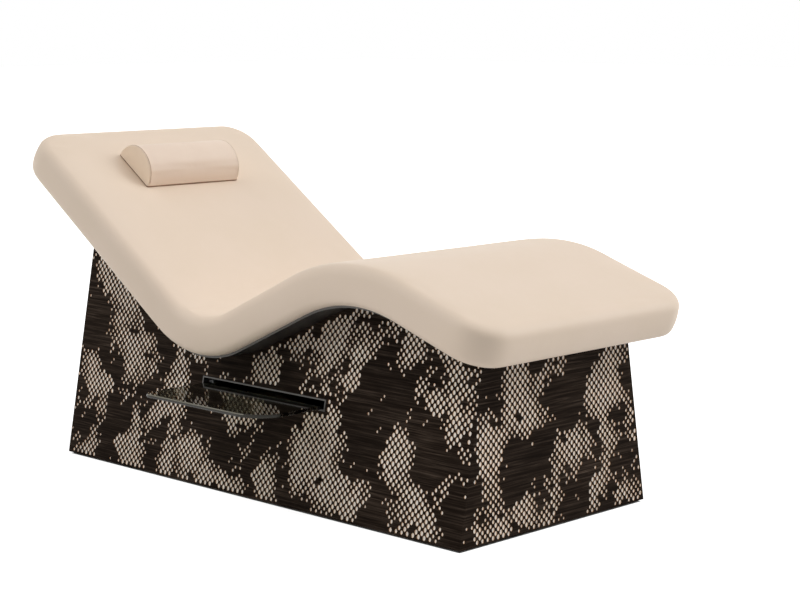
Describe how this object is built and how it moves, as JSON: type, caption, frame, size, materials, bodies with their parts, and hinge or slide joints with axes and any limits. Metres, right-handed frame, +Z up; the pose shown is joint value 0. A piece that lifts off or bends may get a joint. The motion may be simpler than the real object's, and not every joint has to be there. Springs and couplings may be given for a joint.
{
  "type": "spa relaxation lounger",
  "caption": "Wave-shaped padded lounger on a leaning perforated wood housing with a pull-out glass side tray and a sliding half-round neck pillow.",
  "frame": {"origin": "on the floor under the middle of the housing, at the face of the middle glide", "axes": "+X along the lounger to the foot end, -Y to the tray side, +Z up"},
  "size_m": [1.8969, 0.979, 0.9739],
  "materials": {
    "board_wood": "satin",
    "frame_timber": "matte",
    "panel_cream": "matte",
    "deck_grey": "satin",
    "leatherette": "satin",
    "pillow_leatherette": "satin",
    "foam": "matte",
    "trim_grey": "satin",
    "runner_alu": "satin",
    "smoked_glass": "gloss",
    "nylon_black": "matte",
    "nylon_white": "matte",
    "stop_rubber": "matte",
    "screw_steel": "satin"
  },
  "bodies": {
    "base": {"side_board_near": "board_wood", "side_board_far": "board_wood", "end_board_head": "board_wood", "end_board_foot": "board_wood", "panel_near": "panel_cream", "panel_far": "panel_cream", "panel_head": "panel_cream", "panel_foot": "panel_cream", "corner_posts": "frame_timber", "plinth_rails_long": "frame_timber", "plinth_rails_cross": "frame_timber", "bulkheads": "frame_timber", "deck_bearers": "frame_timber", "bent_deck": "deck_grey", "deck_screws": "screw_steel", "mattress_foam": "foam", "mattress_cover": "leatherette", "slot_frame": "trim_grey", "runner_rails": "runner_alu", "runner_screws": "screw_steel", "front_stops": "stop_rubber", "rear_stops": "stop_rubber", "glides": "nylon_black", "glide_screws": "screw_steel"},
    "tray": {"tray_glass": "smoked_glass", "tray_clamp_bar": "trim_grey", "tray_slide_pads": "nylon_white", "tray_clamp_screws": "screw_steel"},
    "pillow": {"pillow_core": "foam", "pillow_wrap": "pillow_leatherette", "pillow_ends": "pillow_leatherette"}
  },
  "joints": [
    {"name": "tray_slide", "type": "slide", "parent": "base", "child": "tray", "axis": [0, 1, 0], "range_m": [0, 0.205]},
    {"name": "pillow_slide", "type": "slide", "parent": "base", "child": "pillow", "axis": [0.8239, 0, -0.5668], "range_m": [-0.09, 0.12]}
  ]
}
